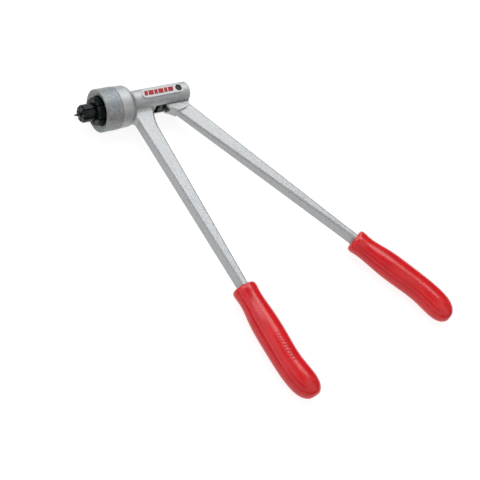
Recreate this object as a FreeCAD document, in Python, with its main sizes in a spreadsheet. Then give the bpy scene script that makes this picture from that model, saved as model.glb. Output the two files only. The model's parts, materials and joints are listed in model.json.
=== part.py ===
import FreeCAD, Part
import math
import os
import Sketcher
from FreeCAD import Placement, Rotation, Vector

# Lever-operated manual tube expander, in millimetres.
# X runs along the head, with the tube stop at x = 0 and the pivot at x = pivot_x.
# Z is the pivot pin's axis and Y is the swing plane's other axis: the handles reach towards -Y.

SIZES = {
    # head axis and pivot
    "pivot_x": 96.2,
    # six expanding jaws round a cone
    "jaw_count": 6,
    "jaw_phase": 7.7,
    "jaw_reach": 14.0,
    "jaw_radius": 9.3,
    "jaw_tip_radius": 7.9,
    "jaw_tip_bevel": 2.1,
    "jaw_relief_width": 1.0,
    "jaw_relief_depth": 0.8,
    "jaw_gap": 1.5,
    "stop_radius": 14.8,
    "stop_bevel": 1.0,
    "flange_radius": 18.2,
    "flange_front": 10.4,
    "flange_rear": 15.9,
    "garter_x": 13.2,
    "garter_radius": 17.4,
    "garter_wire": 0.75,
    "garter_groove": 1.6,
    "garter_gap": 0.1,
    "cone_slope": 0.164,
    "cone_clearance": 0.15,
    # mandrel
    "mandrel_tip_x": -21.0,
    "mandrel_tip_radius": 0.65,
    "mandrel_tip_bevel": 0.4,
    "mandrel_radius": 7.5,
    "mandrel_step_x": 44.2,
    "mandrel_step_bevel": 0.5,
    "running_gap": 0.05,
    "tail_radius": 5.0,
    "tail_end_radius": 4.0,
    "mandrel_pin_radius": 1.25,
    # ring nut on the threaded nose
    "nut_front": 5.2,
    "nut_dish": 2.5,
    "nut_rim": 1.2,
    "nut_lip_rear": 10.2,
    "nut_radius": 22.5,
    "nut_mouth": 15.95,
    "nut_bore": 20.0,
    "nut_rear": 24.45,
    "nut_bevel": 0.5,
    "ring_front": 16.1,
    "ring_rear": 17.6,
    "ring_radius": 19.3,
    "ring_bore": 8.2,
    # body casting
    "nose_front": 17.8,
    "nose_radius": 19.9,
    "nose_bevel": 0.6,
    "thread_pitch": 1.5,
    "thread_depth": 0.6,
    "thread_turns": 4,
    "collar_front": 24.6,
    "collar_radius": 22.2,
    "collar_rear_radius": 21.6,
    "collar_rear": 41.5,
    "collar_round": 6.5,
    "bush_bore": 9.0,
    "bush_seat_end": 50.0,
    "web_bore": 5.3,
    "web_rear": 53.0,
    "spring_bore": 8.3,
    "bar_front": 30.6,
    "bar_half_width": 10.7,
    "bar_half_depth": 17.5,
    "bar_rear": 109.4,
    "bar_end_round": 1.8,
    "slot_front": 68.7,
    "slot_half": 7.2,
    "pad_front_x": 56.7,
    "pad_rear_x": 96.5,
    "pad_half_width": 5.3,
    "pad_half_depth": 18.0,
    # lever hub with its cam nose
    "hub_radius": 11.5,
    "hub_half": 6.6,
    "hub_round": 3.0,
    "crown_angle": 150.0,
    "flank_angle": -15.0,
    "heel_x": -9.7,
    "heel_y": -15.4,
    "toe_x": -3.8,
    "toe_y": -20.0,
    "shin_x": 6.2,
    "shin_y": -17.9,
    "knee_x": 12.6,
    "knee_y": -12.4,
    "hub_bore": 6.0,
    "cam_offset": 8.0,
    "cam_radius": 16.0,
    "cheek_radius": 14.8,
    "cheek_low_angle": 204.0,
    "cheek_high_angle": 148.0,
    "cam_low_angle": 206.0,
    "cam_high_angle": 149.0,
    "fork_half": 2.7,
    "fork_root": 10.7,
    "insert_half": 2.6,
    "insert_pin_x": 12.9,
    "insert_pin_radius": 1.5,
    # pivot
    "pin_radius": 3.7,
    "pin_half_length": 17.0,
    "pin_bevel": 0.5,
    "small_pin_inset": 0.2,
    "pin_hole": 3.7,
    "bush_wall_bore": 3.75,
    "washer_radius": 10.0,
    "washer_thickness": 0.5,
    "washer_gap": 0.1,
    # saddle that the cam pushes
    "saddle_front": 74.2,
    "saddle_gap": 0.12,
    "saddle_half_width": 10.3,
    "saddle_half_depth": 6.9,
    "saddle_bevel": 1.0,
    # return spring
    "spring_front": 53.3,
    "spring_wire": 0.75,
    "spring_radius": 6.6,
    "spring_turns": 5,
    "spring_gap": 0.2,
    # fixed arm
    "fixed_root_x": 49.9,
    "fixed_root_y": -9.4,
    "fixed_angle": -83.9,
    "fixed_length": 224.0,
    "fixed_root_width": 18.8,
    "fixed_end_width": 7.2,
    "fixed_root_depth": 12.6,
    "fixed_end_depth": 14.8,
    "flare_radius": 48.5,
    "flare_length": 28.0,
    # lever arm
    "lever_root_x": 99.0,
    "lever_root_y": -14.0,
    "lever_angle": -57.1,
    "lever_length": 236.0,
    "lever_root_width": 19.0,
    "lever_end_width": 6.4,
    "lever_root_depth": 9.2,
    "lever_end_depth": 14.8,
    "arm_round": 2.6,
    "root_round": 4.0,
    "foot_round": 6.0,
    # grips
    "fixed_grip_x": 73.5,
    "fixed_grip_y": -229.7,
    "fixed_grip_angle": -81.6,
    "lever_grip_x": 226.4,
    "lever_grip_y": -211.2,
    "lever_grip_angle": -58.8,
    "tang_length": 96.0,
    "tang_lead": 14.0,
    "tang_half_width": 2.9,
    "tang_half_depth": 6.6,
    # how far a cutting tool reaches past what it cuts, and a through cut's length against a half depth
    "overcut": 1.0,
    "through": 4.0,
}

# Ovals along a grip: distance from its mouth, bow to the outer side, half width, half depth.
GRIP_OVALS = [
    (-4.6, 0.0, 11.0, 9.0),
    (-3.8, 0.0, 12.3, 10.1),
    (-2.0, 0.0, 13.3, 10.9),
    (0.5, 0.0, 13.6, 11.1),
    (5.0, 0.1, 13.1, 10.7),
    (10.0, 0.2, 12.8, 10.4),
    (30.0, 1.3, 14.4, 11.7),
    (60.0, 2.6, 15.2, 12.3),
    (86.0, 3.2, 15.0, 12.1),
    (105.0, 1.2, 15.4, 12.4),
    (117.0, -0.4, 13.4, 11.0),
    (124.0, -1.3, 8.7, 7.4),
    (126.5, -1.8, 3.0, 2.6),
]

for number, oval_sizes in enumerate(GRIP_OVALS):
    for what, value in zip(("along", "bow", "width", "depth"), oval_sizes):
        SIZES[f"oval_{number}_{what}"] = value

# The least length or volume that counts when edges are picked and cuts are checked.
SLACK = 0.1

doc = FreeCAD.newDocument("tube_expander")
sheet = doc.addObject("Spreadsheet::Sheet", "Sizes")
for row, (name, value) in enumerate(SIZES.items(), start=1):
    sheet.set(f"A{row}", name)
    sheet.set(f"B{row}", str(value))
    sheet.setAlias(f"B{row}", name)
doc.recompute()

parts = []


def size(formula):
    """The number that a formula of sheet cells gives."""
    result = sheet.evalExpression(formula)
    return getattr(result, "Value", result)


def cells(formula):
    """The formula with its sheet names written in full, for use outside the sheet."""
    words = []
    word = ""
    for mark in formula + " ":
        if mark.isalnum() or mark == "_" or mark == ".":
            word += mark
            continue
        words.append("Sizes." + word if word in SIZES else word)
        words.append(mark)
        word = ""
    return "".join(words).strip()


def bind(thing, **formulas):
    """Ties properties of an object to formulas of sheet cells."""
    for prop, formula in formulas.items():
        thing.setExpression(prop.replace("__", "."), cells(formula))


def new_body(label):
    body = doc.addObject("PartDesign::Body", label + "_body")
    body.Label = label
    return body


def origin_feature(body, role):
    return next(f for f in body.Origin.OriginFeatures if f.Role == role)


def new_sketch(body, role, name, lift=None):
    """A sketch on one of the body's own origin planes, lifted along its normal."""
    sketch = body.newObject("Sketcher::SketchObject", name)
    sketch.AttachmentSupport = [(origin_feature(body, role), "")]
    sketch.MapMode = "FlatFace"
    if lift:
        bind(sketch, AttachmentOffset__Base__z=lift)
    return sketch


def hold_point(sketch, geometry, point, x, y):
    """Holds one vertex at two formulas, measured from the sketch's origin."""
    for kind, formula in (("DistanceX", x), ("DistanceY", y)):
        index = sketch.addConstraint(
            Sketcher.Constraint(kind, -1, 1, geometry, point, size(formula))
        )
        sketch.setExpression(f"Constraints[{index}]", cells(formula))


def outline(sketch, corners):
    """A closed outline. A corner is (x, y), or (x, y, centre x, centre y, turn) where an arc starts."""
    first = sketch.GeometryCount
    spots = [Vector(size(c[0]), size(c[1]), 0) for c in corners]
    for i, corner in enumerate(corners):
        start, end = spots[i], spots[(i + 1) % len(corners)]
        if len(corner) == 2:
            sketch.addGeometry(Part.LineSegment(start, end))
            continue
        centre = Vector(size(corner[2]), size(corner[3]), 0)
        sketch.addGeometry(arc_between(start, end, centre, corner[4]))
    for i, corner in enumerate(corners):
        geometry = first + i
        clockwise = len(corner) > 2 and corner[4] == "cw"
        hold_point(sketch, geometry, 2 if clockwise else 1, corner[0], corner[1])
    for i, corner in enumerate(corners):
        nxt = (i + 1) % len(corners)
        ends_at = 1 if len(corner) > 2 and corner[4] == "cw" else 2
        starts_at = 2 if len(corners[nxt]) > 2 and corners[nxt][4] == "cw" else 1
        sketch.addConstraint(
            Sketcher.Constraint("Coincident", first + i, ends_at, first + nxt, starts_at)
        )
        if len(corner) > 2:
            chord = spots[nxt] - spots[i]
            flat = abs(chord.x) > abs(chord.y)
            kind = "DistanceY" if flat else "DistanceX"
            formula = corner[3] if flat else corner[2]
            index = sketch.addConstraint(
                Sketcher.Constraint(kind, -1, 1, first + i, 3, size(formula))
            )
            sketch.setExpression(f"Constraints[{index}]", cells(formula))


def arc_between(start, end, centre, turn):
    circle = Part.Circle(centre, Vector(0, 0, 1), start.distanceToPoint(centre))
    low, high = circle.parameter(start), circle.parameter(end)
    if turn == "cw":
        low, high = high, low
    if high <= low:
        high += 2 * math.pi
    return Part.ArcOfCircle(circle, low, high)


def disc(sketch, x, y, radius):
    centre = Vector(size(x), size(y), 0)
    geometry = sketch.addGeometry(Part.Circle(centre, Vector(0, 0, 1), size(radius)))
    hold_point(sketch, geometry, 3, x, y)
    index = sketch.addConstraint(Sketcher.Constraint("Radius", geometry, size(radius)))
    sketch.setExpression(f"Constraints[{index}]", cells(radius))


def revolve(body, corners, plane="XY_Plane", axis="X_Axis"):
    """A turned solid: the corners are (along, radius) for X, or (radius, along) for Z."""
    sketch = new_sketch(body, plane, body.Label + "_profile")
    outline(sketch, corners)
    turn = body.newObject("PartDesign::Revolution", body.Label + "_turned")
    turn.Profile = sketch
    turn.ReferenceAxis = (origin_feature(body, axis), [""])
    turn.Angle = 360
    doc.recompute()
    return turn


def pad(body, sketch, length, both_ways=True):
    block = body.newObject("PartDesign::Pad", sketch.Name + "_pad")
    block.Profile = sketch
    if both_ways:
        block.SideType = "Symmetric"
    bind(block, Length=length)
    doc.recompute()
    return block


def pocket(body, sketch, length, both_ways=True, reverse=False):
    before = body.Shape.Volume
    cut = body.newObject("PartDesign::Pocket", sketch.Name + "_pocket")
    cut.Profile = sketch
    if both_ways:
        cut.SideType = "Symmetric"
    cut.Reversed = reverse
    bind(cut, Length=length)
    doc.recompute()
    if body.Shape.Volume > before - SLACK:
        raise RuntimeError(sketch.Name + " removes nothing")
    return cut


def edges_at(shape, spots):
    """The names of the edges that pass through the given points."""
    names = []
    for spot in spots:
        point = Part.Vertex(Vector(*spot))
        gaps = [edge.distToShape(point)[0] for edge in shape.Edges]
        names.append("Edge%d" % (gaps.index(min(gaps)) + 1))
    return sorted(set(names))


def edges_inside(shape, low, high):
    """The names of the edges that lie wholly inside a box."""
    box = FreeCAD.BoundBox(*low, *high)
    return [
        f"Edge{number}"
        for number, edge in enumerate(shape.Edges, start=1)
        if box.isInside(edge.BoundBox)
    ]


def round_edges(body, spots, radius, kind="Fillet"):
    base = body.Tip
    edges = edges_at(base.Shape, spots)
    soft = body.newObject("PartDesign::" + kind, body.Label + "_" + kind.lower())
    soft.Base = (base, edges)
    bind(soft, **{"Radius" if kind == "Fillet" else "Size": radius})
    doc.recompute()
    return soft


def keep(thing):
    """Lists a finished sub-part for export."""
    parts.append(thing)
    return thing


# --- turned pieces on the head axis ---

def ring_nut():
    body = new_body("ring_nut")
    inner_rim = "nut_radius - nut_rim"
    revolve(body, [
        ("nut_front", inner_rim),
        ("nut_front", "nut_radius - nut_bevel"),
        ("nut_front + nut_bevel", "nut_radius"),
        ("nut_rear - nut_bevel", "nut_radius"),
        ("nut_rear", "nut_radius - nut_bevel"),
        ("nut_rear", "nut_bore"),
        ("nut_lip_rear", "nut_bore"),
        ("nut_lip_rear", "nut_mouth"),
        ("nut_front + nut_dish", "nut_mouth"),
    ])
    return keep(body)


def jaw_thrust_ring():
    body = new_body("jaw_thrust_ring")
    revolve(body, [
        ("ring_front", "ring_bore"),
        ("ring_front", "ring_radius"),
        ("ring_rear", "ring_radius"),
        ("ring_rear", "ring_bore"),
    ])
    return keep(body)


def guide_bush():
    body = new_body("mandrel_guide_bush")
    running = "mandrel_radius + running_gap"
    revolve(body, [
        ("nose_front + nose_bevel", running),
        ("nose_front + nose_bevel", "bush_bore"),
        ("mandrel_step_x", "bush_bore"),
        ("mandrel_step_x", running),
    ])
    return keep(body)


def mandrel():
    """A blunt cone that runs back into a plain shank and a thinner tail."""
    body = new_body("mandrel")
    cone_start = "mandrel_tip_x + mandrel_tip_bevel"
    cone_end = cone_start + " + (mandrel_radius - mandrel_tip_radius) / cone_slope"
    saddle_rear = "pivot_x - cam_radius - saddle_gap"
    revolve(body, [
        ("mandrel_tip_x", "0"),
        ("mandrel_tip_x", "mandrel_tip_radius - mandrel_tip_bevel"),
        (cone_start, "mandrel_tip_radius"),
        (cone_end, "mandrel_radius"),
        ("mandrel_step_x - mandrel_step_bevel", "mandrel_radius"),
        ("mandrel_step_x", "mandrel_radius - mandrel_step_bevel"),
        ("mandrel_step_x", "tail_radius"),
        ("saddle_front", "tail_radius"),
        ("saddle_front", "tail_end_radius"),
        (saddle_rear, "tail_end_radius"),
        (saddle_rear, "0"),
    ])
    cross_hole(body)
    return keep(body)


def cross_hole(body):
    """The hole along Z for the pin that joins the saddle to the mandrel's tail."""
    sketch = new_sketch(body, "XY_Plane", body.Label + "_pin_hole")
    disc(sketch, "(saddle_front + pivot_x - cam_radius) / 2", "0", "mandrel_pin_radius")
    pocket(body, sketch, "through * saddle_half_depth")


def jaw(number):
    """One sixth of a stepped sleeve with a conical bore; its middle points along Y before turning."""
    body = new_body(f"jaw_segment_{number}")
    tip = "mandrel_tip_radius + cone_clearance"
    cone_at = tip + " + cone_slope * ({} - mandrel_tip_x - mandrel_tip_bevel)"
    front = "-jaw_reach"
    groove = ("garter_x - garter_groove / 2", "garter_x + garter_groove / 2")
    groove_floor = "garter_radius - garter_wire - garter_gap"
    relief_edge = "jaw_radius + jaw_relief_width"
    revolve(body, [
        (front, cone_at.format("0 - jaw_reach")),
        (front, "jaw_tip_radius"),
        ("-jaw_reach + jaw_tip_bevel", "jaw_radius"),
        ("jaw_relief_depth", "jaw_radius"),
        ("jaw_relief_depth", relief_edge),
        ("0", relief_edge),
        ("0", "stop_radius - stop_bevel"),
        ("stop_bevel", "stop_radius"),
        ("flange_front", "stop_radius"),
        ("flange_front", "flange_radius"),
        (groove[0], "flange_radius"),
        (groove[0], groove_floor),
        (groove[1], groove_floor),
        (groove[1], "flange_radius"),
        ("flange_rear", "flange_radius"),
        ("flange_rear", cone_at.format("flange_rear")),
    ])
    trim = new_sketch(body, "YZ_Plane", body.Label + "_sector")
    disc(trim, "0", "0", "2 * flange_radius")
    apex = "jaw_gap / 2 / sin(180 / jaw_count)"
    reach = "1.5 * flange_radius"
    spread = f"({reach} - {apex}) * tan(180 / jaw_count)"
    outline(trim, [(apex, "0"), (reach, "0 - " + spread), (reach, spread)])
    pocket(body, trim, "through * (flange_rear + jaw_reach)")
    body.Placement = Placement(Vector(0, 0, 0), Rotation(Vector(1, 0, 0), 0))
    bind(body, Placement__Rotation__Angle=f"jaw_phase + {number - 1} * 360 / jaw_count")
    return keep(body)


def garter_spring():
    ring = doc.addObject("Part::Torus", "garter_spring_ring")
    ring.Label = "jaw_garter_spring"
    ring.Placement = Placement(Vector(0, 0, 0), Rotation(Vector(0, 1, 0), 90))
    bind(ring, Radius1="garter_radius", Radius2="garter_wire", Placement__Base__x="garter_x")
    return keep(ring)


def return_spring():
    """A coil round the mandrel's tail, between the barrel's web and the saddle."""
    coil = doc.addObject("Part::Feature", "return_spring_coil")
    coil.Label = "return_spring"
    wire = size("spring_wire")
    radius = size("spring_radius")
    length = size("saddle_front - spring_front - 2 * spring_wire - spring_gap")
    helix = Part.makeHelix(length / size("spring_turns"), length, radius)
    section = Part.Wire(Part.Circle(Vector(radius, 0, 0), Vector(0, 1, 0), wire).toShape())
    coil.Shape = Part.Wire(helix.Edges).makePipeShell([section], True, True)
    coil.Placement = Placement(
        Vector(size("spring_front") + wire, 0, 0), Rotation(Vector(0, 1, 0), 90)
    )
    return keep(coil)


def saddle():
    """The flat block behind the mandrel that the cam pushes."""
    body = new_body("mandrel_saddle")
    face = new_sketch(body, "XY_Plane", "saddle_face")
    rear = "pivot_x - cam_radius - saddle_gap"
    width = "saddle_half_width"
    outline(face, [
        ("saddle_front", "0 - " + width),
        (rear, "0 - " + width),
        (rear, width),
        ("saddle_front", width),
    ])
    pad(body, face, "2 * saddle_half_depth")
    front = size("saddle_front")
    side, half = size(width), size("saddle_half_depth")
    spots = [(front, side, 0), (front, -side, 0), (front, 0, half), (front, 0, -half)]
    round_edges(body, spots, "saddle_bevel", "Chamfer")
    bore = new_sketch(body, "YZ_Plane", "saddle_bore")
    disc(bore, "0", "0", "tail_end_radius")
    pocket(body, bore, "through * pivot_x")
    cross_hole(body)
    return keep(body)


def saddle_pin():
    pin = doc.addObject("Part::Cylinder", "saddle_pin_rod")
    pin.Label = "saddle_pin"
    bind(
        pin,
        Radius="mandrel_pin_radius",
        Height="2 * (saddle_half_depth - small_pin_inset)",
        Placement__Base__x="(saddle_front + pivot_x - cam_radius) / 2",
        Placement__Base__z="small_pin_inset - saddle_half_depth",
    )
    return keep(pin)


# --- pieces on the pivot ---

def turned_on_pivot(label, corners):
    """A turned piece about Z, placed at the pivot; corners are (radius, height)."""
    body = new_body(label)
    revolve(body, corners, "XZ_Plane", "Z_Axis")
    bind(body, Placement__Base__x="pivot_x")
    return keep(body)


def pivot_pin():
    top, edge = "pin_half_length", "pin_radius - pin_bevel"
    return turned_on_pivot("pivot_pin", [
        ("0", "0 - " + top),
        (edge, "0 - " + top),
        ("pin_radius", "pin_bevel - " + top),
        ("pin_radius", top + " - pin_bevel"),
        (edge, top),
        ("0", top),
    ])


def hub_bush():
    return turned_on_pivot("hub_bush", [
        ("bush_wall_bore", "0 - hub_half"),
        ("hub_bore", "0 - hub_half"),
        ("hub_bore", "hub_half"),
        ("bush_wall_bore", "hub_half"),
    ])


def thrust_washer(label, side):
    near = f"{side} * (hub_half + washer_gap)"
    far = f"{side} * (hub_half + washer_gap + washer_thickness)"
    return turned_on_pivot(label, [
        ("bush_wall_bore", near),
        ("washer_radius", near),
        ("washer_radius", far),
        ("bush_wall_bore", far),
    ])


# --- arms and grips ---

def tapered_bar(name, arm, spare="0"):
    """A bar that narrows in plan and deepens in Z; its own Y runs along the arm."""
    bar = doc.addObject("Part::Wedge", name)
    root, end = f"{arm}_root_width / 2 + {spare}", f"{arm}_end_width / 2 + {spare}"
    near, far = f"{arm}_root_depth / 2", f"{arm}_end_depth / 2"
    bind(
        bar,
        Ymin="0", Ymax=arm + "_length",
        Xmin=f"0 - ({root})", Xmax=root, Zmin="0 - " + near, Zmax=near,
        X2min=f"0 - ({end})", X2max=end, Z2min="0 - " + far, Z2max=far,
    )
    set_on_arm(bar, arm)
    return bar


def set_on_arm(thing, arm):
    """Puts an object's own origin at the arm's root, with its Y along the arm."""
    thing.Placement = Placement(Vector(0, 0, 0), Rotation(Vector(0, 0, 1), 0))
    bind(
        thing,
        Placement__Base__x=arm + "_root_x",
        Placement__Base__y=arm + "_root_y",
        Placement__Rotation__Angle=arm + "_angle - 90",
    )


def rounded(name, base, *groups):
    """Fillets groups of named edges of a Part object, each group with its own radius."""
    soft = doc.addObject("Part::Fillet", name)
    soft.Base = base
    soft.Edges = [
        (int(edge[4:]), size(radius), size(radius))
        for radius, edges in groups
        for edge in edges
    ]
    doc.recompute()
    return soft


def edges_along(shape, placement):
    """The edges of an arm that run along it, and not across its ends."""
    to_own = placement.inverse()
    names = []
    for number, edge in enumerate(shape.Edges, start=1):
        reach = [to_own.multVec(vertex.Point).y for vertex in edge.Vertexes]
        if max(reach) - min(reach) > size("arm_round"):
            names.append(f"Edge{number}")
    return names


def plain_arm():
    """The lever's arm."""
    arm = tapered_bar("lever_arm", "lever")
    doc.recompute()
    return rounded("lever_arm_soft", arm, ("arm_round", edges_along(arm.Shape, arm.Placement)))


def flared_arm():
    """The fixed arm, whose root sweeps out in an arc on the side of the fork."""
    thick = tapered_bar("fixed_arm_thick", "fixed", "flare_length")
    lean = "(fixed_root_width - fixed_end_width) / 2 / fixed_length"
    norm = f"sqrt(1 + ({lean}) ^ 2)"
    touch_x = f"{lean} * flare_length - fixed_root_width / 2"
    centre_x = f"{touch_x} - flare_radius / {norm}"
    centre_y = f"flare_length + flare_radius * {lean} / {norm}"
    plan = new_body("fixed_arm_plan")
    sketch = new_sketch(plan, "XY_Plane", "fixed_arm_outline")
    outline(sketch, [
        ("fixed_root_width / 2", "0"),
        ("fixed_end_width / 2", "fixed_length"),
        ("0 - fixed_end_width / 2", "fixed_length"),
        (touch_x, "flare_length", centre_x, centre_y, "cw"),
        (f"{centre_x} + sqrt(flare_radius ^ 2 - ({centre_y}) ^ 2)", "0"),
    ])
    pad(plan, sketch, "2 * fixed_end_depth")
    set_on_arm(plan, "fixed")
    arm = doc.addObject("Part::MultiCommon", "fixed_arm")
    arm.Shapes = [plan, thick]
    arm.Refine = True
    doc.recompute()
    return rounded("fixed_arm_soft", arm, ("arm_round", edges_along(arm.Shape, thick.Placement)))


def tang(name, grip):
    """The plain tongue that the grip is moulded round."""
    bar = doc.addObject("Part::Box", name)
    bar.Placement = Placement(Vector(0, 0, 0), Rotation(Vector(0, 0, 1), 0))
    turn = f"{grip}_grip_angle"
    bind(
        bar,
        Length="tang_length + tang_lead",
        Width="2 * tang_half_width",
        Height="2 * tang_half_depth",
        Placement__Rotation__Angle=turn,
        Placement__Base__x=f"{grip}_grip_x - tang_lead * cos({turn}) + tang_half_width * sin({turn})",
        Placement__Base__y=f"{grip}_grip_y - tang_lead * sin({turn}) - tang_half_width * cos({turn})",
        Placement__Base__z="0 - tang_half_depth",
    )
    return bar


def grip(label, arm, outer_side, arm_solids):
    """A bowed handle lofted through oval stations, hollow where the arm runs into it."""
    ovals = []
    turn = arm + "_grip_angle"
    upright = Rotation(Vector(0, 1, 0), Vector(0, 0, 1), Vector(1, 0, 0), "ZXY")
    facing = Rotation(Vector(0, 0, 1), size(turn)).multiply(upright)
    for number in range(len(GRIP_OVALS)):
        along, bow = f"oval_{number}_along", f"{outer_side} * oval_{number}_bow"
        oval = doc.addObject("Part::Ellipse", f"{label}_oval_{number}")
        oval.Placement = Placement(Vector(0, 0, 0), facing)
        bind(
            oval,
            MajorRadius=f"oval_{number}_width",
            MinorRadius=f"oval_{number}_depth",
            Placement__Base__x=f"{arm}_grip_x + {along} * cos({turn}) - {bow} * sin({turn})",
            Placement__Base__y=f"{arm}_grip_y + {along} * sin({turn}) + {bow} * cos({turn})",
        )
        ovals.append(oval)
    skin = doc.addObject("Part::Loft", label + "_skin")
    skin.Sections = ovals
    skin.Solid = True
    doc.recompute()
    core = doc.addObject("Part::MultiFuse", label + "_core")
    core.Shapes = arm_solids
    handle = doc.addObject("Part::Cut", label + "_cut")
    handle.Base = skin
    handle.Tool = core
    handle.Label = label
    doc.recompute()
    return keep(handle)


# --- the two castings ---

def body_core():
    """Threaded nose, collar, fork bar and raised pads, before the arm is joined on."""
    body = new_body("body_core")
    thread = []
    for turn in range(SIZES["thread_turns"]):
        crest = f"nose_front + nose_bevel + {turn} * thread_pitch"
        thread.append((crest, "nose_radius"))
        thread.append((crest + " + thread_pitch / 2", "nose_radius - thread_depth"))
    revolve(body, [
        ("nose_front", "0"),
        ("nose_front", "nose_radius - nose_bevel"),
        *thread,
        ("nose_front + nose_bevel + thread_turns * thread_pitch", "nose_radius"),
        ("collar_front", "nose_radius"),
        ("collar_front", "collar_radius"),
        ("collar_rear", "collar_rear_radius"),
        ("collar_rear", "0"),
    ])
    round_edges(body, [(size("collar_rear"), size("collar_rear_radius"), 0)], "collar_round")
    section = new_sketch(body, "YZ_Plane", "bar_section", "bar_front")
    half, straight = "bar_half_width", "bar_half_depth - bar_half_width"
    outline(section, [
        ("0 - " + half, f"0 - ({straight})", "0", f"0 - ({straight})", "ccw"),
        (half, f"0 - ({straight})"),
        (half, straight, "0", straight, "ccw"),
        ("0 - " + half, straight),
    ])
    pad(body, section, "bar_rear - bar_front", both_ways=False)
    rear, side, top = size("bar_rear"), size(half), size("bar_half_depth")
    end_edge = [(rear, side, 0), (rear, -side, 0), (rear, 0, top), (rear, 0, -top)]
    round_edges(body, end_edge, "bar_end_round")
    raised = new_sketch(body, "XY_Plane", "pad_outline")
    x1, x2, r = "pad_front_x", "pad_rear_x", "pad_half_width"
    outline(raised, [
        (x1, "0 - " + r),
        (x2, "0 - " + r, x2, "0", "ccw"),
        (x2, r),
        (x1, r, x1, "0", "ccw"),
    ])
    pad(body, raised, "2 * pad_half_depth")
    return body


def body_casting():
    core = body_core()
    arm = flared_arm()
    tongue = tang("fixed_tang", "fixed")
    joined = doc.addObject("Part::MultiFuse", "body_joined")
    joined.Shapes = [core, arm, tongue]
    joined.Refine = True
    doc.recompute()
    ring, foot = root_edges(joined.Shape)
    blended = rounded("body_blended", joined, ("root_round", ring), ("foot_round", foot))
    bores = doc.addObject("Part::MultiFuse", "body_bores")
    bores.Shapes = [
        bore("barrel_bore", "nose_front - overcut", "bush_seat_end", "bush_bore"),
        bore("web_bore", "bush_seat_end - overcut", "web_rear + overcut", "web_bore"),
        bore("spring_bore", "web_rear", "slot_front + overcut", "spring_bore"),
        fork_slot(),
        pivot_hole(),
    ]
    casting = doc.addObject("Part::Cut", "body_cut")
    casting.Base = blended
    casting.Tool = bores
    casting.Label = "body_casting"
    doc.recompute()
    return keep(casting), arm, tongue


def root_edges(shape):
    """The edges where the bar and the fixed arm run into the collar and into each other."""
    rear, side = size("collar_rear"), size("bar_half_width")
    wide = size("2 * collar_radius")
    front = size("collar_rear - collar_round + overcut")
    ring = edges_inside(shape, (front, -wide, -wide), (rear + SLACK, wide, wide))
    depth = size("bar_half_depth / 2")
    low = (rear - SLACK, -1.2 * side, -depth)
    high = (size("slot_front"), SLACK - side, depth)
    foot = edges_inside(shape, low, high)
    return ring, [edge for edge in foot if edge not in ring]


def bore(name, start, end, radius):
    """A round hole along the head axis."""
    rod = doc.addObject("Part::Cylinder", name)
    rod.Placement = Placement(Vector(0, 0, 0), Rotation(Vector(0, 1, 0), 90))
    bind(rod, Radius=radius, Height=f"{end} - ({start})", Placement__Base__x=start)
    return rod


def fork_slot():
    block = doc.addObject("Part::Box", "fork_slot")
    bind(
        block,
        Length="bar_rear - slot_front + overcut",
        Width="through * bar_half_width",
        Height="2 * slot_half",
        Placement__Base__x="slot_front",
        Placement__Base__y="0 - 2 * bar_half_width",
        Placement__Base__z="0 - slot_half",
    )
    return block


def pivot_hole():
    rod = doc.addObject("Part::Cylinder", "pivot_hole")
    bind(
        rod,
        Radius="pin_hole",
        Height="2 * (pad_half_depth + overcut)",
        Placement__Base__x="pivot_x",
        Placement__Base__z="0 - pad_half_depth - overcut",
    )
    return rod


def lever_hub():
    """The hub and its cam nose: an arc about a centre set off from the pivot."""
    body = new_body("lever_hub")
    sketch = new_sketch(body, "XY_Plane", "hub_outline")
    low = polar("cheek_radius", "cheek_low_angle", "pivot_x", "0 - cam_offset")
    high = polar("cheek_radius", "cheek_high_angle", "pivot_x", "0 - cam_offset")
    crown = polar("hub_radius", "crown_angle", "pivot_x", "0")
    flank = polar("hub_radius", "flank_angle", "pivot_x", "0")
    heel, toe = ("pivot_x + heel_x", "heel_y"), ("pivot_x + toe_x", "toe_y")
    outline(sketch, [
        low,
        heel,
        toe,
        ("pivot_x + shin_x", "shin_y"),
        ("pivot_x + knee_x", "knee_y"),
        (*flank, "pivot_x", "0", "ccw"),
        crown,
        (*high, "pivot_x", "0 - cam_offset", "ccw"),
    ])
    pad(body, sketch, "2 * hub_half")
    corners = [(size(x), size(y), 0) for x, y in (heel, toe)]
    round_edges(body, corners, "hub_round")
    fork = new_sketch(body, "XY_Plane", "fork_outline")
    root = "pivot_x - fork_root"
    far = "pivot_x - 2 * cam_radius"
    outline(fork, [
        (far, "0 - 2 * cam_radius"),
        (root, "0 - 2 * cam_radius"),
        (root, "cam_radius"),
        (far, "cam_radius"),
    ])
    pocket(body, fork, "2 * fork_half")
    return body


def polar(radius, angle, x, y):
    return (f"{x} + {radius} * cos({angle})", f"{y} + {radius} * sin({angle})")


def insert_pin_spot():
    return ("pivot_x - insert_pin_x", "0 - cam_offset")


def cam_insert():
    """The hard plate between the cheeks, whose arc stands just proud of them."""
    body = new_body("cam_insert")
    sketch = new_sketch(body, "XY_Plane", "insert_outline")
    low = polar("cam_radius", "cam_low_angle", "pivot_x", "0 - cam_offset")
    high = polar("cam_radius", "cam_high_angle", "pivot_x", "0 - cam_offset")
    root = "pivot_x - fork_root"
    outline(sketch, [
        (root, low[1]),
        (root, high[1]),
        (*high, "pivot_x", "0 - cam_offset", "ccw"),
        low,
    ])
    pad(body, sketch, "2 * insert_half")
    hole = new_sketch(body, "XY_Plane", "insert_pin_hole")
    disc(hole, *insert_pin_spot(), "insert_pin_radius")
    pocket(body, hole, "through * insert_half")
    return keep(body)


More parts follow.
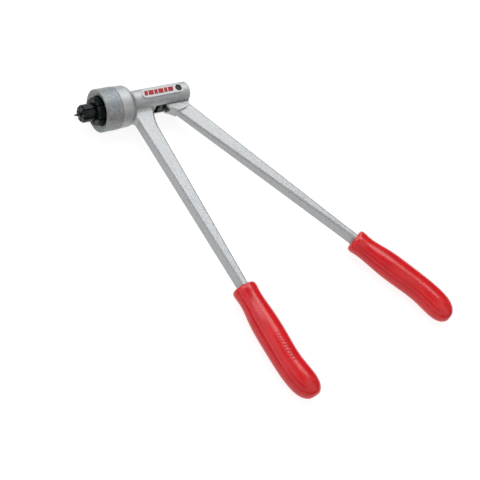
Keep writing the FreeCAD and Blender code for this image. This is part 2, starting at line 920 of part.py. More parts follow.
def cam_insert_pin():
    pin = doc.addObject("Part::Cylinder", "cam_insert_pin_rod")
    pin.Label = "cam_insert_pin"
    x, y = insert_pin_spot()
    bind(
        pin,
        Radius="insert_pin_radius",
        Height="2 * (hub_half - small_pin_inset)",
        Placement__Base__x=x,
        Placement__Base__y=y,
        Placement__Base__z="small_pin_inset - hub_half",
    )
    return keep(pin)


def lever_casting():
    hub = lever_hub()
    arm = plain_arm()
    tongue = tang("lever_tang", "lever")
    joined = doc.addObject("Part::MultiFuse", "lever_joined")
    joined.Shapes = [hub, arm, tongue]
    eye = doc.addObject("Part::Cylinder", "hub_eye")
    bind(
        eye,
        Radius="hub_bore",
        Height="through * hub_half",
        Placement__Base__x="pivot_x",
        Placement__Base__z="0 - 2 * hub_half",
    )
    x, y = insert_pin_spot()
    pin_eye = doc.addObject("Part::Cylinder", "insert_pin_eye")
    bind(
        pin_eye,
        Radius="insert_pin_radius",
        Height="through * hub_half",
        Placement__Base__x=x,
        Placement__Base__y=y,
        Placement__Base__z="0 - 2 * hub_half",
    )
    holes = doc.addObject("Part::MultiFuse", "lever_holes")
    holes.Shapes = [eye, pin_eye]
    casting = doc.addObject("Part::Cut", "lever_cut")
    casting.Base = joined
    casting.Tool = holes
    casting.Label = "lever_casting"
    doc.recompute()
    return keep(casting), arm, tongue


def build():
    _, arm, tongue = body_casting()
    grip("fixed_grip", "fixed", -1, [arm, tongue])
    _, arm, tongue = lever_casting()
    grip("moving_grip", "lever", 1, [arm, tongue])
    pivot_pin()
    hub_bush()
    thrust_washer("thrust_washer_top", 1)
    thrust_washer("thrust_washer_bottom", -1)
    cam_insert()
    cam_insert_pin()
    mandrel()
    saddle()
    saddle_pin()
    guide_bush()
    return_spring()
    ring_nut()
    jaw_thrust_ring()
    garter_spring()
    for number in range(1, SIZES["jaw_count"] + 1):
        jaw(number)


def export():
    doc.recompute()
    for thing in doc.Objects:
        if "Invalid" in thing.State or "Error" in thing.State:
            raise RuntimeError(f"{thing.Label} did not recompute: {thing.State}")
    os.makedirs("parts", exist_ok=True)
    for thing in parts:
        shape = thing.Shape
        if shape.isNull() or not shape.isValid():
            raise RuntimeError(thing.Label + " is not a valid solid")
        shape.exportStep(f"parts/{thing.Label}.step")
        print(thing.Label, len(shape.Solids), "solid", round(shape.Volume), "mm3")


build()
export()
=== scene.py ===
import json
import math

import bmesh
import bpy
from mathutils import Matrix, Quaternion, Vector
from mathutils.bvhtree import BVHTree


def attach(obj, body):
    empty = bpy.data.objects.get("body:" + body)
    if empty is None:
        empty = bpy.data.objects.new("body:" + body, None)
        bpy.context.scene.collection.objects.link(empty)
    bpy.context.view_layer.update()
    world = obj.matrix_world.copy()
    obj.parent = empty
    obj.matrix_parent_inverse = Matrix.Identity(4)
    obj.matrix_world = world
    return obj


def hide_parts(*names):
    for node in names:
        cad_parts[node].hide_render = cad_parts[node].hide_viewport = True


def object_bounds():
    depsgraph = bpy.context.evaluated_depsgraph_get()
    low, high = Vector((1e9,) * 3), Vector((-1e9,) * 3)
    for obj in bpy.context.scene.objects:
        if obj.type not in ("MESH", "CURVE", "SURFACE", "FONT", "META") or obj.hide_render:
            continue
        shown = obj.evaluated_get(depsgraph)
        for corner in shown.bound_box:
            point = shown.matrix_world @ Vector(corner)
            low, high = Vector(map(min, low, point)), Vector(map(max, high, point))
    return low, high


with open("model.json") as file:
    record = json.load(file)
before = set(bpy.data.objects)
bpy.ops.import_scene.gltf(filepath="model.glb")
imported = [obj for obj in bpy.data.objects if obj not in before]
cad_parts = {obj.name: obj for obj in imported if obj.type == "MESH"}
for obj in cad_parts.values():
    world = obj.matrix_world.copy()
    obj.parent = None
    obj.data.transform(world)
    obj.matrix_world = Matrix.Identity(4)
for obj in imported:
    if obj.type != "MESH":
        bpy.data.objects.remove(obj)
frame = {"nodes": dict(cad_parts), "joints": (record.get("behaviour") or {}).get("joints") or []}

# Looks of the lever-operated tube expander. Everything is in metres, in the frame of the CAD model:
# the jaws point to -X, Z is the pivot pin's axis and the handles reach towards -Y.

MM = 0.001
UP = Vector((0, 0, 1))
RAY_LIFT = 0.05          # how far outside a surface a ray towards it starts

cad_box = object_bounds()
nodes = frame["nodes"]
pivot_x = next(j for j in frame["joints"] if j["name"] == "lever_pivot")["pos_m"][0]

# The inside of the fork that the lever's hub turns in, as two corners of a box; the casting's
# finish paints shade inside it.
FORK_FRONT = pivot_x - 27.6 * MM
FORK_REAR = pivot_x + 20.0 * MM
FORK_HALF_WIDTH = 11.5 * MM
FORK_HALF_GAP = 7.4 * MM
FORK_LOW = (FORK_FRONT, -FORK_HALF_WIDTH, -FORK_HALF_GAP)
FORK_HIGH = (FORK_REAR, FORK_HALF_WIDTH, FORK_HALF_GAP)


# --- procedural materials ---

# A Mix node's sockets for colours; their names are shared with its other kinds of data.
MIX_FIRST, MIX_SECOND, MIX_RESULT = 6, 7, 2
WAVE_PITCH = math.pi / 10          # distance between the bands of a wave texture of scale 1


class Finish:
    """A material whose nodes read object coordinates in metres."""

    def __init__(self, name, **sockets):
        self.material = bpy.data.materials.new(name + "_finish")
        self.material.use_nodes = True
        self.tree = self.material.node_tree
        self.shader = self.tree.nodes["Principled BSDF"]
        for socket, value in sockets.items():
            self.shader.inputs[socket.replace("_", " ")].default_value = value
        self.place = self.tree.nodes.new("ShaderNodeTexCoord").outputs["Object"]

    def link(self, source, target):
        self.tree.links.new(source, target)

    def stretched(self, scale):
        """The coordinates, scaled along each axis."""
        node = self.tree.nodes.new("ShaderNodeMapping")
        node.inputs["Scale"].default_value = scale
        self.link(self.place, node.inputs["Vector"])
        return node.outputs["Vector"]

    def noise(self, size, detail=3.0, rough=0.55, stretch=None, warp=0.0):
        """Cloudy noise whose blots are about size metres across."""
        node = self.tree.nodes.new("ShaderNodeTexNoise")
        node.inputs["Scale"].default_value = 1.0 / size
        node.inputs["Detail"].default_value = detail
        node.inputs["Roughness"].default_value = rough
        node.inputs["Distortion"].default_value = warp
        self.link(self.stretched(stretch) if stretch else self.place, node.inputs["Vector"])
        return node.outputs["Fac"]

    def pits(self, size):
        """Distance to scattered points about size metres apart."""
        node = self.tree.nodes.new("ShaderNodeTexVoronoi")
        node.inputs["Scale"].default_value = 1.0 / size
        self.link(self.place, node.inputs["Vector"])
        return node.outputs["Distance"]

    def grooves(self, pitch, warp):
        """Parallel grooves across the X axis."""
        node = self.tree.nodes.new("ShaderNodeTexWave")
        node.bands_direction = "X"
        node.wave_profile = "SIN"
        node.inputs["Scale"].default_value = WAVE_PITCH / pitch
        node.inputs["Distortion"].default_value = warp
        node.inputs["Detail"].default_value = 1.0
        self.link(self.place, node.inputs["Vector"])
        return node.outputs["Fac"]

    def ramp(self, source, *stops):
        """Colours by value, from stops that are each (value, colour)."""
        node = self.tree.nodes.new("ShaderNodeValToRGB")
        marks = node.color_ramp.elements
        while len(marks) < len(stops):
            marks.new(0.5)
        for mark, (spot, colour) in zip(marks, stops):
            mark.position = spot
            mark.color = (*colour, 1.0)
        self.link(source, node.inputs["Fac"])
        return node.outputs["Color"]

    def spread(self, source, low, high, start=0.0, end=1.0):
        """Maps a value from start..end to low..high."""
        node = self.tree.nodes.new("ShaderNodeMapRange")
        node.inputs["From Min"].default_value = start
        node.inputs["From Max"].default_value = end
        node.inputs["To Min"].default_value = low
        node.inputs["To Max"].default_value = high
        self.link(source, node.inputs["Value"])
        return node.outputs["Result"]

    def times(self, first, second):
        """The product of two values."""
        node = self.tree.nodes.new("ShaderNodeMath")
        node.operation = "MULTIPLY"
        self.link(first, node.inputs[0])
        self.link(second, node.inputs[1])
        return node.outputs[0]

    def inside(self, low, high):
        """1 inside the box between two corners, and 0 outside it."""
        parts = self.tree.nodes.new("ShaderNodeSeparateXYZ")
        self.link(self.place, parts.inputs["Vector"])
        within = []
        for axis in range(3):
            node = self.tree.nodes.new("ShaderNodeMath")
            node.operation = "COMPARE"
            node.inputs[1].default_value = (low[axis] + high[axis]) / 2
            node.inputs[2].default_value = (high[axis] - low[axis]) / 2
            self.link(parts.outputs[axis], node.inputs[0])
            within.append(node.outputs[0])
        return self.times(self.times(within[0], within[1]), within[2])

    def mixed(self, first, second, how, share=None):
        """Two colours mixed, by a share of the second or in full."""
        node = self.tree.nodes.new("ShaderNodeMix")
        node.data_type = "RGBA"
        node.blend_type = how
        node.clamp_factor = True
        if share is None:
            node.inputs["Factor"].default_value = 1.0
        else:
            self.link(share, node.inputs["Factor"])
        self.link(first, node.inputs[MIX_FIRST])
        self.link(second, node.inputs[MIX_SECOND])
        return node.outputs[MIX_RESULT]

    def tinted(self, first, second):
        """One colour multiplied by another."""
        return self.mixed(first, second, "MULTIPLY")

    def colour(self, source):
        self.link(source, self.shader.inputs["Base Color"])

    def roughness(self, source):
        self.link(source, self.shader.inputs["Roughness"])

    def relief(self, height, depth, strength, over=None):
        """A bump of the given depth in metres, on top of another bump if there is one."""
        node = self.tree.nodes.new("ShaderNodeBump")
        node.inputs["Distance"].default_value = depth
        node.inputs["Strength"].default_value = strength
        self.link(height, node.inputs["Height"])
        if over:
            self.link(over, node.inputs["Normal"])
        self.link(node.outputs["Normal"], self.shader.inputs["Normal"])
        return node.outputs["Normal"]


def cast_aluminium(shaded_fork=False):
    """Sand-textured casting: fine grain, cloudy patches, a few dark pits, and, if asked, painted
    shade, near black, inside the fork.
    """
    f = Finish("cast_aluminium", Metallic=0.85)
    grain = f.noise(1.3 * MM, detail=4.0, rough=0.6)
    patches = f.noise(16 * MM)
    specks = f.noise(2.2 * MM, detail=2.0, rough=0.4)
    tone = f.ramp(
        grain,
        (0.28, (0.30, 0.305, 0.31)),
        (0.50, (0.405, 0.408, 0.41)),
        (0.72, (0.51, 0.51, 0.51)),
    )
    cloud = f.ramp(patches, (0.3, (0.93, 0.94, 0.955)), (0.7, (1.0, 0.995, 0.985)))
    dirt = f.ramp(specks, (0.22, (0.5, 0.5, 0.51)), (0.29, (1.0, 1.0, 1.0)))
    metal = f.tinted(f.tinted(tone, cloud), dirt)
    if shaded_fork:
        # Painted shade: inside the fork box the casting is coloured near black, standing in for the
        # deep shadow there.
        fork_painted_shade = f.ramp(patches, (0.3, (0.012, 0.013, 0.014)), (0.7, (0.035, 0.034, 0.032)))
        metal = f.mixed(metal, fork_painted_shade, "MIX", f.inside(FORK_LOW, FORK_HIGH))
    f.colour(metal)
    f.roughness(f.spread(grain, 0.40, 0.58, start=0.3, end=0.7))
    coarse = f.relief(f.noise(5.5 * MM, detail=2.0), depth=0.5 * MM, strength=0.25)
    f.relief(grain, depth=0.3 * MM, strength=0.5, over=coarse)
    return f.material


def turned_aluminium():
    """Lathe-turned metal with fine rings, smeary blots and slow changes of tint."""
    f = Finish("turned_aluminium", Metallic=0.45)
    rings = f.grooves(0.55 * MM, warp=0.6)
    blots = f.noise(2.2 * MM, detail=5.0, rough=0.64, warp=0.4)
    drift = f.noise(14 * MM, detail=2.0)
    tone = f.ramp(
        blots,
        (0.30, (0.165, 0.165, 0.165)),
        (0.50, (0.24, 0.24, 0.24)),
        (0.70, (0.33, 0.335, 0.34)),
    )
    tint = f.ramp(drift, (0.36, (0.88, 0.95, 1.0)), (0.62, (1.0, 0.965, 0.925)))
    f.colour(f.tinted(tone, tint))
    f.roughness(f.spread(blots, 0.50, 0.32, start=0.3, end=0.7))
    lathe = f.relief(rings, depth=0.05 * MM, strength=0.5)
    f.relief(blots, depth=0.2 * MM, strength=0.3, over=lathe)
    return f.material


def red_vinyl():
    """Glossy dipped vinyl with a faint orange peel and small changes of shade."""
    f = Finish("red_vinyl", Specular_IOR_Level=0.45)
    shade = f.noise(22 * MM, detail=2.0)
    fine = f.noise(1.6 * MM, detail=2.0)
    f.colour(f.ramp(shade, (0.3, (0.50, 0.005, 0.009)), (0.7, (0.59, 0.010, 0.012))))
    f.roughness(f.spread(fine, 0.17, 0.25))
    peel = f.relief(f.noise(7 * MM, detail=1.0), depth=0.25 * MM, strength=0.25)
    f.relief(fine, depth=0.05 * MM, strength=0.3, over=peel)
    return f.material


def black_steel():
    """Oiled black oxide: near-black with worn, slightly bluish patches."""
    f = Finish("black_steel", Specular_IOR_Level=0.2)
    wear = f.noise(4.5 * MM, detail=4.0, rough=0.6)
    fine = f.noise(0.8 * MM, detail=2.0)
    f.colour(f.ramp(wear, (0.35, (0.0015, 0.0022, 0.0024)), (0.75, (0.007, 0.011, 0.012))))
    f.roughness(f.spread(wear, 0.16, 0.28, start=0.3, end=0.7))
    f.relief(fine, depth=0.04 * MM, strength=0.4)
    return f.material


def bright_steel():
    """Ground steel with fine lines round its axis."""
    f = Finish("bright_steel", Metallic=0.95)
    lines = f.noise(0.9 * MM, stretch=(6.0, 1.0, 1.0))
    smear = f.noise(6 * MM, detail=2.0)
    f.colour(f.ramp(smear, (0.3, (0.44, 0.45, 0.46)), (0.7, (0.60, 0.61, 0.62))))
    f.roughness(f.spread(lines, 0.22, 0.38))
    f.relief(lines, depth=0.03 * MM, strength=0.4)
    return f.material


def bronze():
    """Sintered bearing bronze: brown-gold with tiny pores."""
    f = Finish("bronze", Metallic=0.85)
    pores = f.pits(0.7 * MM)
    stain = f.noise(4 * MM)
    f.colour(f.ramp(stain, (0.3, (0.36, 0.21, 0.09)), (0.7, (0.58, 0.38, 0.17))))
    f.roughness(f.spread(pores, 0.55, 0.35))
    f.relief(pores, depth=0.05 * MM, strength=0.5)
    return f.material


def pad_face():
    """Satin silver label stock with a light brushing along its length."""
    f = Finish("pad_face", Metallic=0.25)
    brush = f.noise(0.7 * MM, stretch=(0.08, 1.0, 1.0))
    scuff = f.noise(5 * MM, detail=4.0)
    tone = f.ramp(brush, (0.3, (0.37, 0.37, 0.37)), (0.7, (0.44, 0.44, 0.435)))
    wear = f.ramp(scuff, (0.28, (0.82, 0.82, 0.83)), (0.42, (1.0, 1.0, 1.0)))
    f.colour(f.tinted(tone, wear))
    f.roughness(f.spread(brush, 0.38, 0.5))
    f.relief(brush, depth=0.02 * MM, strength=0.4)
    return f.material


def red_mark():
    """Screen-printed red ink, a little uneven and worn."""
    f = Finish("red_mark", Specular_IOR_Level=0.25)
    wear = f.noise(1.2 * MM, detail=4.0, rough=0.65)
    f.colour(f.ramp(
        wear,
        (0.26, (0.36, 0.10, 0.10)),
        (0.38, (0.27, 0.008, 0.010)),
        (0.70, (0.33, 0.011, 0.012)),
    ))
    f.roughness(f.spread(wear, 0.55, 0.4))
    f.relief(wear, depth=0.02 * MM, strength=0.4)
    return f.material


FINISHES = {
    maker.__name__: maker()
    for maker in (
        cast_aluminium, turned_aluminium, red_vinyl, black_steel,
        bright_steel, bronze, pad_face, red_mark,
    )
}


def finish_cad_nodes():
    """Gives every CAD node the finish that its own material slot names, and paints near-black shade
    inside the body casting's fork.
    """
    for node in nodes.values():
        for slot in node.material_slots:
            slot.material = FINISHES[slot.material.name]
    nodes["body_casting"].material_slots[0].material = cast_aluminium(shaded_fork=True)


# --- mesh helpers ---

def mesh_from(name, points, faces):
    """A smooth-shaded mesh."""
    mesh = bpy.data.meshes.new(name)
    mesh.from_pydata(points, [], faces)
    mesh.validate()
    mesh.polygons.foreach_set("use_smooth", [True] * len(mesh.polygons))
    return mesh


def add_piece(name, mesh, slot, body):
    """Puts a mesh in the scene as a piece of the object."""
    mesh.name = name
    piece = bpy.data.objects.new(name, mesh)
    bpy.context.scene.collection.objects.link(piece)
    mesh.materials.clear()
    mesh.materials.append(FINISHES[slot])
    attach(piece, body)
    return piece


def surface_of(thing):
    """A search tree of an object's mesh, for rays."""
    mesh = thing.data
    corners = [v.co.copy() for v in mesh.vertices]
    return BVHTree.FromPolygons(corners, [tuple(p.vertices) for p in mesh.polygons])


# --- grips ---

GRIP_RINGS = 96
GRIP_SIDES = 72
GRIP_SQUARENESS = 2.1    # 2 is an ellipse, and more is squarer
TIP_ROUNDING = 0.1       # how much squareness the section loses at the tip
TIP_BLEND = 10 * MM      # the length over which it does
LIP = 1.6 * MM           # length of the rolled lip at the mouth
LIP_DRAW = 0.9           # how far the lip draws in, as a share of its length
FIRST_RING = 0.4 * MM    # from the mouth
LAST_RING = 0.6 * MM     # from the tip
TIP_BULGE = 0.5 * MM     # how far the tip's middle stands out from the last ring
MOUTH_DEPTH = 1.6 * MM
MOUTH_RINGS = ((0.72, 0.0), (0.66, 0.5), (0.64, 1.0), (0.30, 1.0))    # shares of size and of depth


def long_axis(spots, middle):
    """The direction, in the swing plane, along which the points spread most."""
    xx = sum((p.x - middle.x) ** 2 for p in spots)
    yy = sum((p.y - middle.y) ** 2 for p in spots)
    xy = sum((p.x - middle.x) * (p.y - middle.y) for p in spots)
    turn = 0.5 * math.atan2(2 * xy, xx - yy)
    axis = Vector((math.cos(turn), math.sin(turn), 0))
    return -axis if axis.y > 0 else axis


class GripForm:
    """Measures a CAD grip with rays: its centre line and its half sizes along its length."""

    def __init__(self, name):
        spots = [v.co for v in nodes[name].data.vertices]
        middle = sum(spots, Vector()) / len(spots)
        self.tree = surface_of(nodes[name])
        self.along = long_axis(spots, middle)
        self.across = Vector((-self.along.y, self.along.x, 0))
        shares = [(p - middle).dot(self.along) for p in spots]
        self.start = middle + self.along * min(shares)
        self.length = max(shares) - min(shares)

    def edge(self, spot, way):
        """How far the outer skin is from a spot, seen from outside along a direction."""
        hit = self.tree.ray_cast(spot + way * RAY_LIFT, -way, RAY_LIFT)
        return RAY_LIFT - hit[3] if hit[0] else None

    def section(self, distance):
        """Centre, half width and half depth at a distance from the mouth."""
        spot = self.start + self.along * distance
        sides = [self.edge(spot, self.across), self.edge(spot, -self.across)]
        if None in sides:
            return None
        centre = spot + self.across * (sides[0] - sides[1]) / 2
        depths = [self.edge(centre, UP), self.edge(centre, -UP)]
        if None in depths:
            return None
        return centre, (sides[0] + sides[1]) / 2, min(depths)

    def sections(self):
        """Each ring's distance from the mouth and its section, closer together at both ends."""
        last = self.length - LAST_RING
        rows = []
        for number in range(GRIP_RINGS):
            share = number / (GRIP_RINGS - 1)
            share = (share + (1 - math.cos(math.pi * share)) / 2) / 2
            distance = FIRST_RING + (last - FIRST_RING) * share
            found = self.section(distance)
            if found:
                rows.append((distance, *found))
        return rows


def softened(values, passes=3):
    """Neighbouring values averaged, with both ends kept."""
    for _ in range(passes):
        inner = [(a + 2 * b + c) / 4 for a, b, c in zip(values, values[1:], values[2:])]
        values = [values[0], *inner, values[-1]]
    return values


def rounded_section(centre, across, half_width, half_depth, squareness):
    """Points of a ring between an ellipse and a rectangle."""
    ring = []
    for side in range(GRIP_SIDES):
        angle = 2 * math.pi * side / GRIP_SIDES
        c, s = math.cos(angle), math.sin(angle)
        x = math.copysign(abs(c) ** (2 / squareness), c) * half_width
        z = math.copysign(abs(s) ** (2 / squareness), s) * half_depth
        ring.append(centre + across * x + Vector((0, 0, z)))
    return ring


def skin_rings(form, sections):
    """The rings of a grip's skin, rolled in at the mouth and rounder at the tip."""
    widths = softened([s[2] for s in sections])
    depths = softened([s[3] for s in sections])
    rings = []
    for (distance, centre, _, _), width, depth in zip(sections, widths, depths):
        near_mouth = max(0.0, 1 - distance / LIP)
        near_tip = max(0.0, 1 - (form.length - distance) / TIP_BLEND)
        trim = LIP * LIP_DRAW * (1 - math.sqrt(max(0.0, 1 - near_mouth ** 2)))
        squareness = GRIP_SQUARENESS - TIP_ROUNDING * near_tip
        rings.append(rounded_section(centre, form.across, width - trim, depth - trim, squareness))
    return rings


def band(low, high):
    """Faces between two rings, each given by the number of its first point."""
    pairs = [(side, (side + 1) % GRIP_SIDES) for side in range(GRIP_SIDES)]
    return [(low + a, low + b, high + b, high + a) for a, b in pairs]


def make_grip(name, piece_name, body):
    """Replaces a CAD grip by a loft of its measured rings, with a sunk mouth and a closed tip."""
    form = GripForm(name)
    sections = form.sections()
    rings = skin_rings(form, sections)
    points = [p for ring in rings for p in ring]
    starts = range(0, len(points), GRIP_SIDES)
    faces = []
    for low, high in zip(starts, starts[1:]):
        faces += band(low, high)

    mouth = sections[0][1]
    outer = starts[0]
    for size, sink in MOUTH_RINGS:
        inner = len(points)
        sunk = form.along * MOUTH_DEPTH * sink
        points += [mouth + (p - mouth) * size + sunk for p in rings[0]]
        faces += band(inner, outer)
        outer = inner
    faces.append([outer + side for side in range(GRIP_SIDES)])

    tip = len(points)
    last = starts[-1]
    points.append(sections[-1][1] + form.along * TIP_BULGE)
    faces += [(last + side, last + (side + 1) % GRIP_SIDES, tip) for side in range(GRIP_SIDES)]

    mesh = mesh_from(piece_name, points, faces)
    turned = bmesh.new()
    turned.from_mesh(mesh)
    bmesh.ops.recalc_face_normals(turned, faces=turned.faces)
    turned.to_mesh(mesh)
    turned.free()
    piece = add_piece(piece_name, mesh, "red_vinyl", body)
    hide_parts(name)
    return piece, form


# --- ribs moulded into the fixed grip ---

RIB_COUNT = 10
RIB_STEPS = 10           # faces along each side of a rib
RIBS_START = 59.5 * MM   # from the grip's mouth
RIB_PITCH = 3.5 * MM
RIB_LENGTH = 5.6 * MM
RIB_WIDTH = 1.7 * MM
RIB_HEIGHT = 0.55 * MM
RIB_SINK = 0.08 * MM     # how deep a rib's edges lie in the grip
RIB_SHIFT = 1.9 * MM     # from the grip's centre line, towards -X
RIB_LEAN = 0.8 * MM


def make_ribs(name, piece, form, body):
    """A row of short raised bars on the upper face of a grip."""
    skin = surface_of(piece)
    points, faces = [], []
    for number in range(RIB_COUNT):
        base = form.start + form.along * (RIBS_START + RIB_PITCH * number)
        first = len(points)
        for i in range(RIB_STEPS + 1):
            for j in range(RIB_STEPS + 1):
                u, v = i / RIB_STEPS * 2 - 1, j / RIB_STEPS * 2 - 1
                spot = base + form.across * (u * RIB_LENGTH / 2 - RIB_SHIFT)
                spot += form.along * (v * RIB_WIDTH / 2 + u * RIB_LEAN)
                hit = skin.ray_cast(spot + UP * RAY_LIFT, -UP, 2 * RAY_LIFT)
                rise = RIB_HEIGHT * (1 - u ** 6) * (1 - v ** 4) - RIB_SINK
                points.append(hit[0] + hit[1] * rise)
        for i in range(RIB_STEPS):
            for j in range(RIB_STEPS):
                a = first + i * (RIB_STEPS + 1) + j
                faces.append((a, a + RIB_STEPS + 1, a + RIB_STEPS + 2, a + 1))
    add_piece(name, mesh_from(name, points, faces), "red_vinyl", body)


# --- label faces and marks on the raised pads ---

PAD_FRONT = pivot_x - 39.5 * MM    # centres of the pad's two round ends
PAD_REAR = pivot_x + 0.3 * MM
PAD_HALF_WIDTH = 5.3 * MM
LABEL_MARGIN = 0.45 * MM
LABEL_THICKNESS = 0.12 * MM
LABEL_BEVEL = 0.04 * MM
PIN_HOLE_RADIUS = 4.15 * MM
MARK_THICKNESS = 0.06 * MM
MARK_BEVEL = 0.02 * MM
MARK_START = PAD_FRONT - 2.2 * MM
MARK_LENGTHS = (3.8 * MM, 6.0 * MM) * 3
MARK_GAP = 1.0 * MM
MARK_HALF_HEIGHT = 2.7 * MM
MARK_LEAN = 1.1 * MM


def arc(x, radius, start, end, steps=24):
    """Points of an arc about a centre on the X axis, from start to end degrees."""
    turns = [math.radians(start + (end - start) * i / steps) for i in range(steps + 1)]
    return [(x + radius * math.cos(t), radius * math.sin(t)) for t in turns]


def slanted_bar(x, length):
    """A leaning bar with its lower front corner at x."""
    return [
        (x, -MARK_HALF_HEIGHT), (x + length, -MARK_HALF_HEIGHT),
        (x + length + MARK_LEAN, MARK_HALF_HEIGHT), (x + MARK_LEAN, MARK_HALF_HEIGHT),
    ]


def pad_height(sign):
    """The height of a pad's face, found with a ray on the casting."""
    spot = Vector((PAD_FRONT, 0, sign * RAY_LIFT))
    hit = surface_of(nodes["body_casting"]).ray_cast(spot, Vector((0, 0, -sign)), 2 * RAY_LIFT)
    return abs(hit[0].z)


def flat_piece(name, outlines, height, thickness, bevel, slot, sign):
    """A thin plate on a pad from closed outlines; an outline inside another is a hole."""
    curve = bpy.data.curves.new(name, "CURVE")
    curve.dimensions = "2D"
    curve.fill_mode = "BOTH"
    curve.extrude = thickness / 2 - bevel
    curve.bevel_depth = bevel
    curve.bevel_resolution = 2
    for outline in outlines:
        spline = curve.splines.new("POLY")
        spline.points.add(len(outline) - 1)
        for point, (x, y) in zip(spline.points, outline):
            point.co = (x, y, 0, 1)
        spline.use_cyclic_u = True
    holder = bpy.data.objects.new(name + "_curve", curve)
    bpy.context.scene.collection.objects.link(holder)
    bpy.context.view_layer.update()
    filled = holder.evaluated_get(bpy.context.evaluated_depsgraph_get())
    mesh = bpy.data.meshes.new_from_object(filled)
    bpy.data.objects.remove(holder)
    turn = Matrix.Rotation(math.pi, 4, "X") if sign < 0 else Matrix.Identity(4)
    mesh.transform(turn @ Matrix.Translation((0, 0, height + thickness / 2)))
    add_piece(name, mesh, slot, "frame")


def make_label(side, sign):
    """A label plate round the pin's hole, and a row of plain slanted bars on it."""
    edge = PAD_HALF_WIDTH - LABEL_MARGIN
    rim = arc(PAD_REAR, edge, -90, 90) + arc(PAD_FRONT, edge, 90, 270)
    hole = arc(pivot_x, PIN_HOLE_RADIUS, 0, 352, steps=44)
    face = pad_height(sign)
    flat_piece(
        f"pad_label_{side}", [rim, hole], face, LABEL_THICKNESS, LABEL_BEVEL, "pad_face", sign,
    )
    bars = []
    spot = MARK_START
    for length in MARK_LENGTHS:
        bars.append(slanted_bar(spot, length))
        spot += length + MARK_GAP
    top = face + LABEL_THICKNESS
    flat_piece(f"pad_mark_{side}", bars, top, MARK_THICKNESS, MARK_BEVEL, "red_mark", sign)


# --- floor, light and camera ---

FLOOR_HALF = 4.0
FLOOR_TRIES = 8          # rounds in which the floor's tilt and the lowest points settle
LAMP_DISTANCE = 2.4
WARM = (1.0, 0.985, 0.97)
COOL = (0.95, 0.98, 1.0)
COLD = (0.90, 0.96, 1.0)
WORLD_GLOW = 0.07
SOFTBOXES = (            # name, azimuth, elevation, width, height, radiance, colour
    ("softbox_key", 31, 57, 1.2, 0.5, 2.7, WARM),
    ("softbox_strip", 174, 27, 1.2, 0.35, 1.3, COOL),
    ("softbox_back", 76, 45, 3.0, 3.0, 2.2, COOL),
    ("softbox_near_right", -25, 50, 3.0, 3.0, 0.3, WARM),
    ("softbox_left", 140, 50, 3.0, 3.0, 1.05, COLD),
    ("softbox_right", 285, 50, 3.0, 3.0, 0.75, WARM),
    ("softbox_front", 215, 25, 3.0, 1.4, 0.95, COLD),
)
CAMERA_TARGET = Vector((pivot_x - 2.1 * MM, -175.97 * MM, 0))
CAMERA_AZIMUTH = 30.50
CAMERA_ELEVATION = 52.73
CAMERA_ROLL = 39.06
CAMERA_DISTANCE = 1.4438
CAMERA_LENS = 106.43
CAMERA_SENSOR = 36.0
CAMERA_CLIP_END = 20.0


def floor_plane():
    """A point and the normal of the plane that touches the ring nut and both grips from below."""
    normal = UP
    for _ in range(FLOOR_TRIES):
        nut, fixed, moving = (
            min((v.co for v in nodes[name].data.vertices), key=normal.dot)
            for name in ("ring_nut", "fixed_grip", "moving_grip")
        )
        normal = (fixed - nut).cross(moving - nut).normalized()
        if normal.z < 0:
            normal = -normal
    return nut, normal


def make_floor():
    """A plain sheet of pale paper, with a soft glow of its own that keeps it white."""
    mesh = mesh_from("floor", [
        (-FLOOR_HALF, -FLOOR_HALF, 0), (FLOOR_HALF, -FLOOR_HALF, 0),
        (FLOOR_HALF, FLOOR_HALF, 0), (-FLOOR_HALF, FLOOR_HALF, 0),
    ], [(0, 1, 2, 3)])
    floor = bpy.data.objects.new("floor", mesh)
    spot, normal = floor_plane()
    turn = UP.rotation_difference(normal).to_matrix().to_4x4()
    floor.matrix_world = Matrix.Translation(spot) @ turn
    bpy.context.scene.collection.objects.link(floor)
    f = Finish(
        "floor_paper", Roughness=0.9, Specular_IOR_Level=0.0,
        Emission_Color=(1.0, 1.0, 1.0, 1.0), Emission_Strength=0.86,
    )
    tone = f.noise(0.4, detail=2.0)
    f.colour(f.ramp(tone, (0.3, (0.20, 0.20, 0.20)), (0.7, (0.22, 0.22, 0.22))))
    mesh.materials.append(f.material)


def direction(azimuth, elevation):
    """A unit vector from angles in degrees; azimuth 0 is towards +X."""
    a, e = math.radians(azimuth), math.radians(elevation)
    return Vector((math.cos(a) * math.cos(e), math.sin(a) * math.cos(e), math.sin(e)))


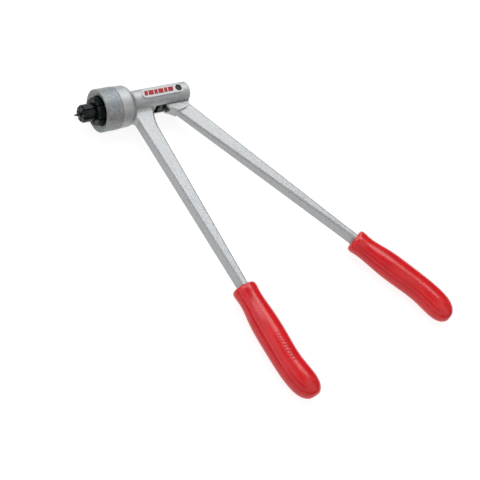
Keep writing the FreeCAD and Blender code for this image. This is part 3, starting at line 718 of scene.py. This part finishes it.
def aim(thing, place, target, roll=0.0):
    """Puts a camera or a lamp at a place, looking at a target."""
    turn = (target - place).to_track_quat("-Z", "Y")
    roll_turn = Quaternion((0, 0, 1), math.radians(roll))
    thing.rotation_mode = "QUATERNION"
    thing.rotation_quaternion = turn @ roll_turn
    thing.location = place


def make_softbox(name, azimuth, elevation, width, height, radiance, colour):
    """A rectangular lamp of a given radiance, aimed at the middle of the tool."""
    lamp = bpy.data.lights.new(name, "AREA")
    lamp.shape = "RECTANGLE"
    lamp.size, lamp.size_y = width, height
    lamp.energy = radiance * math.pi * width * height
    lamp.color = colour
    holder = bpy.data.objects.new(name, lamp)
    bpy.context.scene.collection.objects.link(holder)
    middle = (Vector(cad_box[0]) + Vector(cad_box[1])) / 2
    aim(holder, middle + direction(azimuth, elevation) * LAMP_DISTANCE, middle)


def make_world():
    """A faint, even light from all round."""
    world = bpy.data.worlds.new("studio")
    bpy.context.scene.world = world
    world.use_nodes = True
    background = world.node_tree.nodes["Background"]
    background.inputs["Color"].default_value = (*COLD, 1.0)
    background.inputs["Strength"].default_value = WORLD_GLOW


def make_camera():
    """The view of the product picture: from above the jaws, with the handles towards the viewer."""
    data = bpy.data.cameras.new("camera")
    data.lens = CAMERA_LENS
    data.sensor_width = CAMERA_SENSOR
    data.clip_end = CAMERA_CLIP_END
    camera = bpy.data.objects.new("camera", data)
    bpy.context.scene.collection.objects.link(camera)
    sight = direction(CAMERA_AZIMUTH, -CAMERA_ELEVATION)
    aim(camera, CAMERA_TARGET - sight * CAMERA_DISTANCE, CAMERA_TARGET, CAMERA_ROLL)
    bpy.context.scene.camera = camera


# --- the scene ---

finish_cad_nodes()
fixed_piece, fixed_form = make_grip("fixed_grip", "fixed_grip_vinyl", "frame")
make_grip("moving_grip", "moving_grip_vinyl", "lever")
make_ribs("fixed_grip_ribs", fixed_piece, fixed_form, "frame")
make_label("top", 1)
make_label("bottom", -1)
make_floor()
make_world()
for softbox in SOFTBOXES:
    make_softbox(*softbox)
make_camera()
bpy.context.scene.view_settings.view_transform = "Standard"
